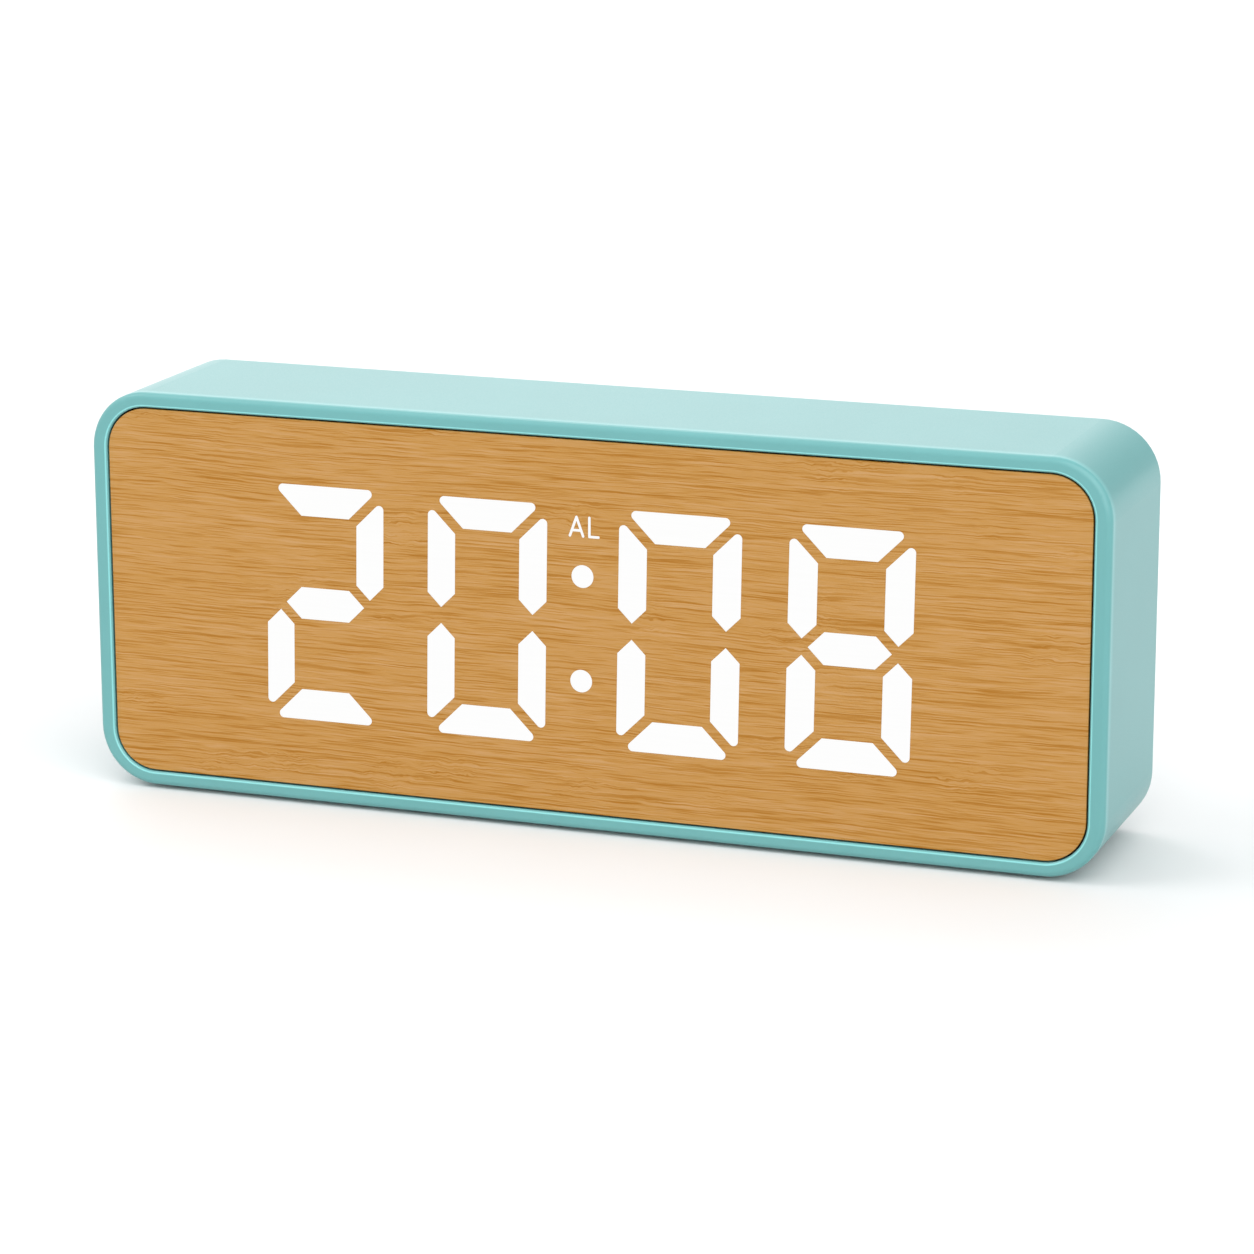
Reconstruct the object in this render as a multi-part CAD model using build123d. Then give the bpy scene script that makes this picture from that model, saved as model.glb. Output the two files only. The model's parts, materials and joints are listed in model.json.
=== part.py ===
"""LED alarm clock: a rounded plastic case with a wood veneer front that the digits shine through.

Millimetres. +X is the viewer's right, -Y is the front and +Z is up. The origin is the centre of the
footprint, on the surface that the rubber feet stand on. Every part is one closed solid, or a group of
identical ones, and is written to parts/NODE.step.
"""

import math
import os

from build123d import *

# ---------------------------------------------------------------- case
CASE_WIDTH = 160.0
CASE_HEIGHT = 62.0
CASE_DEPTH = 30.0
CASE_RADIUS = 9.0  # corners, seen from the front
WALL = 2.2
FRONT_ROUNDING = 0.9
REAR_ROUNDING = 0.6
RIM_CHAMFER = 0.25
REAR_CHAMFER = 0.3
RIB = 1.2
RIB_BITE = 0.4  # how far a rib runs into the wall
POST_RADIUS = 2.4
FOOT_HEIGHT = 0.6  # how far the feet stand out of the case
FRONT_Y = -CASE_DEPTH / 2
REAR_Y = CASE_DEPTH / 2
MID_Z = FOOT_HEIGHT + CASE_HEIGHT / 2

# ---------------------------------------------------------------- front panel
PANEL_WIDTH = 154.4
PANEL_HEIGHT = 57.0
PANEL_RADIUS = 6.3
PANEL_GAP = 0.28  # all round, between the panel and the case's rim
PANEL_RECESS = 0.25
VENEER = 0.5
LENS = 1.5
TAPE = 0.2
TAPE_WIDTH = 3.6
VENEER_Y = FRONT_Y + PANEL_RECESS
LENS_Y = VENEER_Y + VENEER
TAPE_Y = LENS_Y + LENS
LEDGE_Y = TAPE_Y + TAPE
LEDGE = 1.6
WINDOW_WIDTH = 124.0  # the opening in the ledge, behind the panel
WINDOW_HEIGHT = 46.0
CAVITY_Y = LEDGE_Y + LEDGE

# ---------------------------------------------------------------- digits
DIGIT_WIDTH = 19.06
DIGIT_HEIGHT = 36.6
UPRIGHT_STROKE = 4.38
LEVEL_STROKE = 4.74
MIDDLE_STROKE = 4.92
STROKE_GAP = 1.56  # across the mitred gaps
MITRE_SHIFT = 0.2
TIP_GAP = 1.24  # from the digit's middle line to an upright stroke's point
TIP_ROUNDING = 0.7  # at the strokes' acute corners
LEAN = 1.0  # degrees that the display's figures lean to the right
DIGIT_RISE = 0.25  # digits' centre above the panel's centre
DIGIT_CENTRES = (-41.5, -15.2, 15.2, 41.5)
DOT_RADIUS = 1.72
DOT_RISE = 8.0
LIT_FILM = 0.05  # the plates that stand for the light on the veneer's face
STROKES_OF = {"2": "abged", "0": "abcdef", "8": "abcdefg"}
TIME_SHOWN = "2008"
LIT_NAMES = ("lit_hour_tens", "lit_hour_units", "lit_minute_tens", "lit_minute_units")
MARK_STROKE = 0.38
MARK_TOP = 16.96
MARK_FOOT = 14.1
MARK_APEX_X = -0.77
MARK_SPREAD = 1.04  # from the apex to each foot of the A
MARK_BAR = 0.7
MARK_BAR_Z = 14.95
MARK_STEM_X = 1.26
MARK_TOE_X = 2.67
MARK_CENTRE = (0.3, (MARK_TOP + MARK_FOOT) / 2)

# ---------------------------------------------------------------- display module
DIFFUSER = 0.25
REFLECTOR_WIDTH = 112.0
REFLECTOR_HEIGHT = 43.0
REFLECTOR_DEPTH = 6.8
BOARD = 1.6
DIFFUSER_Y = TAPE_Y + 0.05
REFLECTOR_Y = DIFFUSER_Y + DIFFUSER
DISPLAY_BOARD_Y = REFLECTOR_Y + REFLECTOR_DEPTH
DISPLAY_BOARD_BACK = DISPLAY_BOARD_Y + BOARD
DISPLAY_BOARD_WIDTH = 136.0
DISPLAY_BOARD_HEIGHT = 50.0
DISPLAY_POST_X = 64.6
DISPLAY_POST_Z = 18.0
DISPLAY_PILOT_DEPTH = 5.0
DISPLAY_SCREW = 6.0  # how far a board screw reaches into its post
BOARD_HOLE = 1.35
BOARD_CORNER = 1.5
CHIP_LED = (2.8, 0.8, 1.4)
MARK_CUP = (6.0, 4.4)
LED_LEVEL_X = 2.4  # from a digit's middle to the LEDs of its level strokes
LED_UPRIGHT_Z = (5.2, 10.6)  # from a digit's middle to the LEDs of its upright strokes

# ---------------------------------------------------------------- rear cover
COVER_GAP = 0.2
COVER = 2.2
COVER_RECESS = 0.3
COVER_BACK = REAR_Y - COVER_RECESS
COVER_Y = COVER_BACK - COVER
COVER_SCREW_X = 72.0
COVER_SCREW_Z = 23.0
COVER_ROUNDING = 0.3
COVER_SCREW = 9.0
COVER_HOLE = 1.4
COVER_PILOT_DEPTH = 9.0
SCREW_SINK = 0.2  # how far a head lies below the cover's face
OPENING_GAP = 0.25  # round the slider and the socket
BOSS_RADIUS = 3.2
SCREW_CORE = 1.15
SCREW_PILOT = 1.2
SCREW_HEAD = 2.1
HEAD_HEIGHT = 1.0
HEAD_ROUNDING = 0.35
CROSS_LENGTH = 2.6
CROSS_WIDTH = 0.5
CROSS_DEPTH = 0.6
CROSS_TURN = 20  # degrees
POCKET_DEPTH = 0.8  # the shallow recess that holds the controls
POCKET_CENTRE_X = 34.0
POCKET_WIDTH = 56.0
POCKET_HEIGHT = 31.0
POCKET_CORNER = 3.0
POCKET_FLOOR = COVER_BACK - POCKET_DEPTH

# ---------------------------------------------------------------- battery bay
CELL_RADIUS = 5.25
CELL_LENGTH = 44.5
NUB_RADIUS = 1.9
NUB_LENGTH = 1.0
CELL_PITCH = 11.1
PLATE = 0.4
SPRING_LENGTH = 4.7
SPRING_WIRE = 0.3  # the wire's radius
SPRING_TURNS = 4
SPRING_WIDE = 3.4
SPRING_NARROW = 2.2
CONTACT_HEIGHT = 8.4
CONTACT_DEPTH = 9.2
LEAD_RADIUS = 0.6
LEAD_Y = 1.6  # depth at which the leads pass in front of the control board
LEAD_END = 8.0  # from the control board's edge to where the leads are soldered
BAY_X = -32.0
BAY_LENGTH = CELL_LENGTH + SPRING_LENGTH + 2 * PLATE
BAY_HEIGHT = 33.6
BAY_WALL = 1.3
BAY_ROUNDING = 0.8
WIRE_HOLE = 0.8
DOOR = 1.6
DOOR_WIDTH = 53.0
DOOR_HEIGHT = 36.6
DOOR_RADIUS = 2.0
DOOR_GAP = 0.2
DOOR_Y = COVER_BACK - DOOR
CELL_CLEARANCE = 0.1
CELL_RIDGE = 1.6  # the low ridges that keep the cells apart
BAY_Y = 1.7
CELL_Y = BAY_Y + CELL_CLEARANCE + CELL_RADIUS
HOOK_WIDTH = 8.0
HOOK_X = 16.0
HOOK = 1.0
HOOK_BITE = 1.7  # how far a hook reaches past the door's lower edge
HOOK_Y = 11.4
HOOK_SIDE_GAP = 0.4
HOOK_ROOM = 1.2  # in front of the hooks, for the door to tip
SCOOP_RADIUS = 6.6  # the finger scoop above the latch
SCOOP_OUT = 5.2
LATCH_WIDTH = 13.0
LATCH_LENGTH = 9.0
LATCH_SLIT = 0.6
HOOK_ROOT = 2.0
DOOR_ROUNDING = 0.25
RIDGES = 4  # the grip on the latch
RIDGE_LENGTH = 9.0
RIDGE_START = 2.2
RIDGE_PITCH = 1.5
RIDGE_HEIGHT = 0.22
STIFFENER = 18.0  # half the length of the ribs inside the door
CELLS = {"aaa_cell_upper": (CELL_PITCH, -1), "aaa_cell_middle": (0, 1), "aaa_cell_lower": (-CELL_PITCH, -1)}

# ---------------------------------------------------------------- controls
CONTROL_BOARD = 1.2
CONTROL_BOARD_Y = 4.2
CONTROL_BOARD_BACK = CONTROL_BOARD_Y + CONTROL_BOARD
CONTROL_BOARD_X = 34.0
CONTROL_BOARD_WIDTH = 64.0
CONTROL_BOARD_HEIGHT = 40.0
CONTROL_POST_X = 28.5  # from the board's centre
CONTROL_POST_Z = 16.5
CONTROL_PILOT_DEPTH = 5.5
CONTROL_SCREW = 6.0
BUTTONS = {"set": 52.0, "up": 40.0, "down": 28.0, "alarm": 16.0}
BUTTON_Z = 8.0
BUTTON_RADIUS = 3.5
BUTTON_HOLE = 3.75
BUTTON_FLANGE = 4.6
BUTTON_ROUNDING = 0.45
FLANGE = 1.0
FLANGE_GAP = 0.1  # between a flange and the cover
STEM_RADIUS = 1.6
BUTTON_FACE = COVER_BACK + 0.1
BUTTON_TRAVEL = 0.4
SWITCH_SIDE = 6.0
SWITCH_HEIGHT = 3.5
PLUNGER_RADIUS = 1.75
PLUNGER_BORE = 1.82
PLUNGER_TIP = CONTROL_BOARD_BACK + 5.0
PLUNGER_DEPTH = 1.2  # how far the plunger sits in its switch
SLIDER_X = 15.0
LOWER_ROW_Z = -8.5
SLIDER_TRAVEL = 2.0
KNOB = (3.6, 2.6)
GRIP_PITCH = 0.9  # of the grooves across the knob
GRIP_SLOT = 0.4
GRIP_DEPTH = 0.15
SLIDER_PLATE = (8.4, 4.8)
LEVER = 1.5
LEVER_HEIGHT = 2.0
USB_X = 31.0
USB_WIDTH = 8.94
USB_HEIGHT = 3.26
USB_SKIN = 0.3
USB_FLOOR = 1.6
USB_TONGUE = (6.7, 0.7)
USB_TONGUE_SINK = 1.2  # below the mouth
USB_MOUTH = POCKET_FLOOR - 0.1
BUZZER_X = 51.0
BUZZER_RADIUS = 6.0
BUZZER_HEIGHT = 5.6
BUZZER_WALL = 1.0
SOUND_HOLE = 1.0
DISC_RADIUS = 5.2
DISC_RISE = 2.6
DISC = 0.2
GRILLE_HOLE = 0.65
GRILLE_PITCH = 2.3

# ---------------------------------------------------------------- chips and ribbon
CHIP_HEIGHT = 7.6
CHIP_DEPTH = 2.2
CHIP_STANDOFF = 0.2
CHIP_CHAMFER = 0.25
LEG_WIDTH = 0.4
LEG_DEPTH = 0.6
LEG_LENGTH = 1.0
LEG_INSET = 0.8
DRIVER_X = -30.0
DRIVER_LENGTH = 16.0
DRIVER_PINS = 12
CLOCK_CHIP = (30.0, 10.0)
CLOCK_CHIP_LENGTH = 14.0
CLOCK_CHIP_PINS = 10
CRYSTAL_X = 44.0
CRYSTAL_Z = 9.0
CRYSTAL_RADIUS = 1.15
CRYSTAL_LENGTH = 6.0
RIBBON_SOCKET = (14.0, 2.4, 4.4)
RIBBON_X = 28.0
RIBBON_LOW = -20.0
RIBBON_HIGH = -6.0
RIBBON_WIDTH = 12.0
RIBBON = 0.7
RIBBON_BEND = 1.1

# ---------------------------------------------------------------- feet
FOOT_GAP = 0.15
FOOT_RADIUS = 4.0
FOOT_SOCKET = 0.6
FOOT_X = 62.0
FOOT_Y = 8.5


# ---------------------------------------------------------------- helpers
def front_plane(y):
    """A plane across the clock at depth y, its x to the right and its y up from mid height."""
    return Plane(origin=(0, y, MID_Z), x_dir=(1, 0, 0), z_dir=(0, -1, 0))


def slab(sketch, y_near, y_far):
    """The sketch as a solid from y_near back to y_far."""
    return extrude(front_plane(y_near) * sketch, amount=y_far - y_near, dir=(0, 1, 0))


def block(x_low, x_high, y_near, y_far, z_low, z_high):
    """A box between two corners, its z measured from mid height."""
    size = (x_high - x_low, y_far - y_near, z_high - z_low)
    centre = ((x_low + x_high) / 2, (y_near + y_far) / 2, MID_Z + (z_low + z_high) / 2)
    return Pos(*centre) * Box(*size)


def upright(x, z, width, height, y_near, y_far):
    """A box along Y round the point x, z, its z measured from mid height."""
    return slab(Pos(x, z) * Rectangle(width, height), y_near, y_far)


def rod(x, z, radius, y_near, y_far):
    """A round rod along Y, its z measured from mid height."""
    return slab(Pos(x, z) * Circle(radius), y_near, y_far)


def four(x, z):
    """The four points at plus and minus x and z."""
    return [(sx * x, sz * z) for sx in (-1, 1) for sz in (-1, 1)]


def screw(x, z, y_head, y_tip, towards=1):
    """A pan head screw along Y with a cross recess; towards is 1 when its head faces the back."""
    head = rod(x, z, SCREW_HEAD, *sorted((y_head, y_head - towards * HEAD_HEIGHT)))
    outer = head.faces().sort_by(Axis.Y)[-1 if towards > 0 else 0]
    head = fillet(outer.edges(), HEAD_ROUNDING)
    shank = rod(x, z, SCREW_CORE, *sorted((y_head - towards * HEAD_HEIGHT, y_tip)))
    cross = Rectangle(CROSS_LENGTH, CROSS_WIDTH) + Rectangle(CROSS_WIDTH, CROSS_LENGTH)
    slot_floor = y_head - towards * CROSS_DEPTH
    recess = slab(Pos(x, z) * Rot(0, 0, CROSS_TURN) * cross, *sorted((y_head, slot_floor)))
    return head + shank - recess


# ---------------------------------------------------------------- digits
def leaning(x, z):
    """The point x, z of an upright figure, moved to where it is in the leaning one."""
    return x + z * math.tan(math.radians(LEAN)), z


def stroke_sketch(letter):
    """One stroke of a seven-stroke digit, lettered a to g clockwise from the top, with g in the middle."""
    half_w, half_h = DIGIT_WIDTH / 2, DIGIT_HEIGHT / 2
    across = STROKE_GAP / math.sqrt(2)
    side = -1 if letter in "ef" else 1
    up = -1 if letter in "dce" else 1
    if letter == "g":
        tip = half_w - UPRIGHT_STROKE / 2 + TIP_GAP - 2 * across
        rise = MIDDLE_STROKE / 2
        end = tip - rise
        points = [(tip, 0), (end, rise), (-end, rise), (-tip, 0), (-end, -rise), (end, -rise)]
        acute = []
    elif letter in "ad":
        end = half_w + MITRE_SHIFT - across
        low = half_h - LEVEL_STROKE
        points = [(-end, half_h), (end, half_h), (end - LEVEL_STROKE, low), (LEVEL_STROKE - end, low)]
        acute = [0, 1]
    else:
        inner, middle = half_w - UPRIGHT_STROKE, half_w - UPRIGHT_STROKE / 2
        shoulder = TIP_GAP + UPRIGHT_STROKE / 2
        top = half_h - MITRE_SHIFT - across
        points = [(half_w, top), (inner, top - UPRIGHT_STROKE), (inner, shoulder), (middle, TIP_GAP)]
        points.append((half_w, shoulder))
        acute = [0]
    points = [leaning(side * x, up * z) for x, z in points]
    face = make_face(Polyline(*points, close=True))
    corners = [face.vertices().sort_by_distance((*points[i], 0))[0] for i in acute]
    return fillet(corners, TIP_ROUNDING) if corners else face


def digit_sketch(letters, x):
    """The named strokes of the digit centred at x."""
    return Pos(x, DIGIT_RISE) * Sketch([stroke_sketch(letter) for letter in letters])


def colon_sketch():
    """The two dots between the hours and the minutes."""
    return Sketch([Pos(*leaning(0, z)) * Circle(DOT_RADIUS) for z in (-DOT_RISE, DOT_RISE)])


def pen(start, end):
    """A round-ended line from start to end, as wide as the alarm mark's strokes."""
    (x0, z0), (x1, z1) = start, end
    length = math.hypot(x1 - x0, z1 - z0) + MARK_STROKE
    angle = math.degrees(math.atan2(z1 - z0, x1 - x0))
    return Pos((x0 + x1) / 2, (z0 + z1) / 2) * Rot(0, 0, angle) * SlotOverall(length, MARK_STROKE)


def mark_sketch():
    """The letters AL, which show that the alarm is set."""
    apex = (MARK_APEX_X, MARK_TOP)
    letter_a = pen((MARK_APEX_X - MARK_BAR, MARK_BAR_Z), (MARK_APEX_X + MARK_BAR, MARK_BAR_Z))
    for side in (-1, 1):
        letter_a += pen(apex, (MARK_APEX_X + side * MARK_SPREAD, MARK_FOOT))
    corner = (MARK_STEM_X, MARK_FOOT)
    letter_l = pen((MARK_STEM_X, MARK_TOP), corner) + pen(corner, (MARK_TOE_X, MARK_FOOT))
    return Sketch([letter_a, letter_l])


def lit_plates():
    """Thin plates that stand for the light that shows on the veneer."""
    near = VENEER_Y - LIT_FILM
    plates = {}
    for name, figure, x in zip(LIT_NAMES, TIME_SHOWN, DIGIT_CENTRES):
        plates[name] = slab(digit_sketch(STROKES_OF[figure], x), near, VENEER_Y)
    plates["lit_colon"] = slab(colon_sketch(), near, VENEER_Y)
    plates["lit_alarm_mark"] = slab(mark_sketch(), near, VENEER_Y)
    return plates


# ---------------------------------------------------------------- case
def panel_opening():
    """The outline of the opening in the case's rim."""
    width, height = PANEL_WIDTH + 2 * PANEL_GAP, PANEL_HEIGHT + 2 * PANEL_GAP
    return RectangleRounded(width, height, PANEL_RADIUS + PANEL_GAP)


def case_shell():
    """The one-piece case: rim, ledge that the panel sticks to, walls and screw posts."""
    body = slab(RectangleRounded(CASE_WIDTH, CASE_HEIGHT, CASE_RADIUS), FRONT_Y, REAR_Y)
    body = fillet(body.faces().sort_by(Axis.Y)[0].edges(), FRONT_ROUNDING)
    body = fillet(body.faces().sort_by(Axis.Y)[-1].edges(), REAR_ROUNDING)
    cavity = RectangleRounded(CASE_WIDTH - 2 * WALL, CASE_HEIGHT - 2 * WALL, CASE_RADIUS - WALL)
    body -= slab(panel_opening(), FRONT_Y, LEDGE_Y)
    body -= slab(RectangleRounded(WINDOW_WIDTH, WINDOW_HEIGHT, 2), LEDGE_Y, CAVITY_Y)
    body -= slab(cavity, CAVITY_Y, REAR_Y)
    body = chamfer(body.faces().sort_by(Axis.Y)[0].inner_wires()[0].edges(), RIM_CHAMFER)
    body = chamfer(body.faces().sort_by(Axis.Y)[-1].inner_wires()[0].edges(), REAR_CHAMFER)
    reach_x, reach_z = CASE_WIDTH / 2 - WALL + RIB_BITE, CASE_HEIGHT / 2 - WALL + RIB_BITE
    half = RIB / 2
    for x, z in four(COVER_SCREW_X, COVER_SCREW_Z):
        side, up = math.copysign(1, x), math.copysign(1, z)
        to_wall = [*sorted((x, side * reach_x)), CAVITY_Y, COVER_Y, z - half, z + half]
        to_roof = [x - half, x + half, CAVITY_Y, COVER_Y, *sorted((z, up * reach_z))]
        body += rod(x, z, BOSS_RADIUS, CAVITY_Y, COVER_Y) + block(*to_wall) + block(*to_roof)
        body -= rod(x, z, SCREW_PILOT, COVER_Y - COVER_PILOT_DEPTH, COVER_Y)
    for x, z in four(DISPLAY_POST_X, DISPLAY_POST_Z):
        body += rod(x, z, POST_RADIUS, CAVITY_Y, DISPLAY_BOARD_Y)
        body -= rod(x, z, SCREW_PILOT, DISPLAY_BOARD_Y - DISPLAY_PILOT_DEPTH, DISPLAY_BOARD_Y)
    for x, y in four(FOOT_X, FOOT_Y):
        body -= Pos(x, y, FOOT_HEIGHT + FOOT_SOCKET / 2) * Cylinder(FOOT_RADIUS + FOOT_GAP, FOOT_SOCKET)
    return body


def foot(x, y):
    """A stick-on rubber foot, half sunk in its socket."""
    height = FOOT_HEIGHT + FOOT_SOCKET
    pad = Pos(x, y, height / 2) * Cylinder(FOOT_RADIUS, height)
    return fillet(pad.faces().sort_by(Axis.Z)[0].edges(), 0.3)


def front_panel():
    """The veneer, the smoked lens that it is laminated to, and the black tape that holds them."""
    outline = RectangleRounded(PANEL_WIDTH, PANEL_HEIGHT, PANEL_RADIUS)
    tape = panel_opening()
    veneer = slab(outline, VENEER_Y, LENS_Y)
    veneer = fillet(veneer.faces().sort_by(Axis.Y)[0].edges(), 0.12)
    inside = RectangleRounded(
        PANEL_WIDTH - 2 * TAPE_WIDTH, PANEL_HEIGHT - 2 * TAPE_WIDTH, PANEL_RADIUS - TAPE_WIDTH
    )
    return {
        "wood_veneer": veneer,
        "front_lens": slab(outline, LENS_Y, TAPE_Y),
        "panel_tape": slab(tape - inside, TAPE_Y, LEDGE_Y),
    }


# ---------------------------------------------------------------- display module
def led_spots():
    """Where the display's LEDs sit: two behind each stroke, one behind each dot and one behind the mark."""
    half_w, half_h = DIGIT_WIDTH / 2, DIGIT_HEIGHT / 2
    side = half_w - UPRIGHT_STROKE / 2
    level = half_h - LEVEL_STROKE / 2
    spots = [(0, DOT_RISE), (0, -DOT_RISE), MARK_CENTRE]
    for x in DIGIT_CENTRES:
        for dx in (-LED_LEVEL_X, LED_LEVEL_X):
            spots += [(x + dx, DIGIT_RISE + z) for z in (-level, 0, level)]
        for dz in LED_UPRIGHT_Z:
            spots += [(x + sx, DIGIT_RISE + sz) for sx, sz in four(side, dz)]
    return spots


def display_module():
    """Reflector with a cup behind each stroke, frosted sheet, circuit board and what is soldered to it."""
    cups = Sketch([digit_sketch("abcdefg", x) for x in DIGIT_CENTRES])
    cups += colon_sketch() + Pos(*MARK_CENTRE) * Rectangle(*MARK_CUP)
    sheet = RectangleRounded(REFLECTOR_WIDTH, REFLECTOR_HEIGHT, BOARD_CORNER)
    board = RectangleRounded(DISPLAY_BOARD_WIDTH, DISPLAY_BOARD_HEIGHT, BOARD_CORNER)
    board -= Sketch([Pos(x, z) * Circle(BOARD_HOLE) for x, z in four(DISPLAY_POST_X, DISPLAY_POST_Z)])
    wide, deep, tall = CHIP_LED
    leds = [
        block(x - wide / 2, x + wide / 2, DISPLAY_BOARD_Y - deep, DISPLAY_BOARD_Y, z - tall / 2, z + tall / 2)
        for x, z in led_spots()
    ]
    screws = [
        screw(x, z, DISPLAY_BOARD_BACK + HEAD_HEIGHT, DISPLAY_BOARD_BACK - DISPLAY_SCREW)
        for x, z in four(DISPLAY_POST_X, DISPLAY_POST_Z)
    ]
    return {
        "diffuser_sheet": slab(sheet, DIFFUSER_Y, REFLECTOR_Y),
        "digit_reflector": slab(sheet - cups, REFLECTOR_Y, DISPLAY_BOARD_Y),
        "display_board": slab(board, DISPLAY_BOARD_Y, DISPLAY_BOARD_BACK),
        "led_chips": Compound(children=leds),
        "driver_chip": flat_chip(DRIVER_X, 0, DISPLAY_BOARD_BACK, DRIVER_LENGTH, 1, DRIVER_PINS),
        "display_board_screws": Compound(children=screws),
    }


def flat_chip(x, z, y, length, towards, pins):
    """A surface mount chip with legs along its upper and lower edges; towards is 1 on a board's back."""
    half_l, half_h, reach = length / 2, CHIP_HEIGHT / 2, CHIP_HEIGHT / 2 + LEG_LENGTH
    depths = sorted((y + towards * CHIP_STANDOFF, y + towards * CHIP_DEPTH))
    body = block(x - half_l, x + half_l, *depths, z - half_h, z + half_h)
    body = chamfer(body.edges().filter_by(Axis.X), CHIP_CHAMFER)
    leg_depths = sorted((y, y + towards * LEG_DEPTH))
    pitch = (length - 2 * LEG_INSET) / (pins - 1)
    for i in range(pins):
        middle = x - half_l + LEG_INSET + i * pitch
        body += block(middle - LEG_WIDTH / 2, middle + LEG_WIDTH / 2, *leg_depths, z - reach, z + reach)
    return body


# ---------------------------------------------------------------- rear cover
def grille_spots():
    """A hexagon of nineteen holes over the buzzer."""
    spots = []
    for row in range(-2, 3):
        count = 5 - abs(row)
        for i in range(count):
            x = BUZZER_X + (i - (count - 1) / 2) * GRILLE_PITCH
            spots.append((x, LOWER_ROW_Z + row * GRILLE_PITCH * math.sqrt(3) / 2))
    return spots


def rear_cover():
    """The back plate with its battery bay, control recess, speaker holes and posts."""
    inset = WALL + COVER_GAP
    outline = RectangleRounded(CASE_WIDTH - 2 * inset, CASE_HEIGHT - 2 * inset, CASE_RADIUS - inset)
    cover = slab(outline, COVER_Y, COVER_BACK)
    cover = fillet(cover.faces().sort_by(Axis.Y)[-1].edges(), COVER_ROUNDING)
    half_l, half_h = BAY_LENGTH / 2, BAY_HEIGHT / 2
    low_x, high_x = BAY_X - half_l, BAY_X + half_l
    tray = block(
        low_x - BAY_WALL, high_x + BAY_WALL, BAY_Y - BAY_WALL, COVER_Y, -half_h - BAY_WALL, half_h + BAY_WALL
    )
    tray = fillet(tray.faces().sort_by(Axis.Y)[0].edges(), BAY_ROUNDING)
    cover += tray
    cover -= block(low_x, high_x, BAY_Y, COVER_BACK, -half_h, half_h)
    for z in (-CELL_PITCH / 2, CELL_PITCH / 2):
        cover += block(low_x + 2, high_x - 2, BAY_Y - 0.2, BAY_Y + CELL_RIDGE, z - 0.3, z + 0.3)
    rebate = RectangleRounded(DOOR_WIDTH + 2 * DOOR_GAP, DOOR_HEIGHT + 2 * DOOR_GAP, DOOR_RADIUS + DOOR_GAP)
    cover -= slab(Pos(BAY_X, 0) * rebate, DOOR_Y, COVER_BACK)
    slot_low = -DOOR_HEIGHT / 2 - DOOR_GAP
    for side in (-1, 1):
        middle = BAY_X + side * HOOK_X
        reach = HOOK_WIDTH / 2 + HOOK_SIDE_GAP
        cover -= block(middle - reach, middle + reach, HOOK_Y - HOOK_ROOM, DOOR_Y, slot_low, -half_h)
    scoop = Pos(BAY_X, COVER_BACK + SCOOP_OUT, MID_Z + DOOR_HEIGHT / 2 + DOOR_GAP) * Sphere(SCOOP_RADIUS)
    scoop_room = [BAY_X - SCOOP_RADIUS, BAY_X + SCOOP_RADIUS, COVER_Y + 0.7, COVER_BACK + 1]
    cover -= scoop & block(*scoop_room, DOOR_HEIGHT / 2, DOOR_HEIGHT)
    for x, z in ((low_x, CELL_PITCH), (high_x, -CELL_PITCH)):
        cover -= Pos(x, CELL_Y, MID_Z + z) * Rot(0, 90, 0) * Cylinder(WIRE_HOLE, 4 * BAY_WALL)
    pocket = Pos(POCKET_CENTRE_X, 0) * RectangleRounded(POCKET_WIDTH, POCKET_HEIGHT, POCKET_CORNER)
    cover -= slab(pocket, POCKET_FLOOR, COVER_BACK)
    for x in BUTTONS.values():
        cover -= rod(x, BUTTON_Z, BUTTON_HOLE, COVER_Y, COVER_BACK)
    slot_length = KNOB[0] + SLIDER_TRAVEL + 2 * OPENING_GAP
    slot = RectangleRounded(slot_length, KNOB[1] + 2 * OPENING_GAP, 0.6)
    cover -= slab(Pos(SLIDER_X + SLIDER_TRAVEL / 2, LOWER_ROW_Z) * slot, COVER_Y, COVER_BACK)
    mouth = SlotOverall(USB_WIDTH + 2 * OPENING_GAP, USB_HEIGHT + 2 * OPENING_GAP)
    cover -= slab(Pos(USB_X, LOWER_ROW_Z) * mouth, COVER_Y, COVER_BACK)
    cover -= slab(Sketch([Pos(x, z) * Circle(GRILLE_HOLE) for x, z in grille_spots()]), COVER_Y, COVER_BACK)
    for x, z in four(COVER_SCREW_X, COVER_SCREW_Z):
        cover -= rod(x, z, COVER_HOLE, COVER_Y, COVER_BACK)
        cover -= rod(x, z, SCREW_HEAD + 0.3, COVER_BACK - HEAD_HEIGHT - SCREW_SINK, COVER_BACK)
    for x, z in four(CONTROL_POST_X, CONTROL_POST_Z):
        pilot_end = CONTROL_BOARD_BACK + CONTROL_PILOT_DEPTH
        cover += rod(CONTROL_BOARD_X + x, z, POST_RADIUS, CONTROL_BOARD_BACK, COVER_Y)
        cover -= rod(CONTROL_BOARD_X + x, z, SCREW_PILOT, CONTROL_BOARD_BACK, pilot_end)
    return cover


def cover_screws():
    """The four screws that hold the rear cover."""
    head = COVER_BACK - SCREW_SINK
    spots = four(COVER_SCREW_X, COVER_SCREW_Z)
    return Compound(children=[screw(x, z, head, head - COVER_SCREW) for x, z in spots])


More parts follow.
